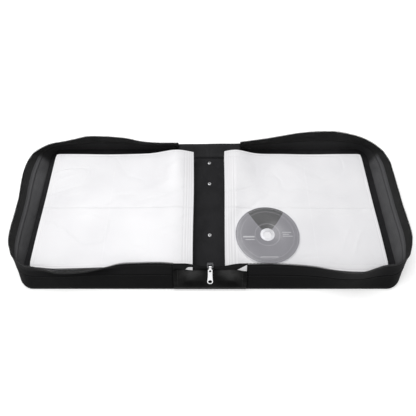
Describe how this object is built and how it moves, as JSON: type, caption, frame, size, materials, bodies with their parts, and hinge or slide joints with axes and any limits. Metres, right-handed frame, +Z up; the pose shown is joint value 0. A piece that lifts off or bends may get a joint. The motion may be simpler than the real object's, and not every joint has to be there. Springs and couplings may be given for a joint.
{
  "type": "cd storage case",
  "caption": "Zip-around fabric wallet for discs, open flat: two soft-walled covers on a flat spine, blocks of clear-pocket sleeve pages and a hanging zip pull.",
  "frame": {"origin": "middle of the underside, on the surface it lies on", "axes": "+X across both covers to the right one, +Y to the rear, away from the zip's pull, +Z up"},
  "size_m": [0.7282, 0.3258, 0.0549],
  "materials": {
    "nylon": "woven matt",
    "lining": "woven matt",
    "spine_lining": "woven matt",
    "zip_tape": "woven matt",
    "zip_teeth": "satin",
    "coated": "soft sheen",
    "webbing": "woven matt",
    "board": "plain",
    "sleeve": "soft sheen",
    "disc": "printed",
    "steel": "bright"
  },
  "bodies": {
    "spine": {"spine_shell": "nylon", "spine_board": "board", "spine_lining": "spine_lining", "carry_strap": "webbing", "spine_rivet_1": "steel", "spine_rivet_2": "steel", "spine_rivet_3": "steel", "spine_rivet_4": "steel", "front_end_panel": "coated", "rear_end_panel": "coated", "front_zip_tail": "zip_tape", "rear_zip_tail": "zip_tape", "zip_slider": "steel", "left_page_margin": "sleeve", "right_page_margin": "sleeve"},
    "left_cover": {"left_cover_shell": "nylon", "left_cover_board": "board", "left_cover_lining": "lining", "left_wall": "nylon", "left_zip_tape": "zip_tape", "left_zip_teeth": "zip_teeth"},
    "left_page_block": {"left_pages": "sleeve"},
    "right_cover": {"right_cover_shell": "nylon", "right_cover_board": "board", "right_cover_lining": "lining", "right_wall": "nylon", "right_zip_tape": "zip_tape", "right_zip_teeth": "zip_teeth"},
    "right_page_block": {"right_pages": "sleeve", "disc": "disc"},
    "pull": {"pull_tab": "steel"}
  },
  "joints": [
    {"name": "left_cover_hinge", "type": "hinge", "parent": "spine", "child": "left_cover", "pos_m": [-0.055, 0, 0], "axis": [0, 1, 0], "range_deg": [0, 90], "deforming": ["front_end_panel", "rear_end_panel", "front_zip_tail", "rear_zip_tail"]},
    {"name": "right_cover_hinge", "type": "hinge", "parent": "spine", "child": "right_cover", "pos_m": [0.055, 0, 0], "axis": [0, -1, 0], "range_deg": [0, 90]},
    {"name": "left_page_hinge", "type": "hinge", "parent": "spine", "child": "left_page_block", "pos_m": [-0.045, 0, 0.01], "axis": [0, 1, 0], "range_deg": [0, 90], "deforming": ["left_page_margin"]},
    {"name": "right_page_hinge", "type": "hinge", "parent": "spine", "child": "right_page_block", "pos_m": [0.045, 0, 0.01], "axis": [0, -1, 0], "range_deg": [0, 90], "deforming": ["right_page_margin"]},
    {"name": "pull_flip", "type": "hinge", "parent": "spine", "child": "pull", "pos_m": [0, -0.1403, 0.05228], "axis": [-1, 0, 0], "range_deg": [0, 155]}
  ],
  "couplings": [
    {"joint": "left_page_hinge", "follows": "left_cover_hinge", "ratio": 1},
    {"joint": "right_page_hinge", "follows": "right_cover_hinge", "ratio": 1}
  ]
}
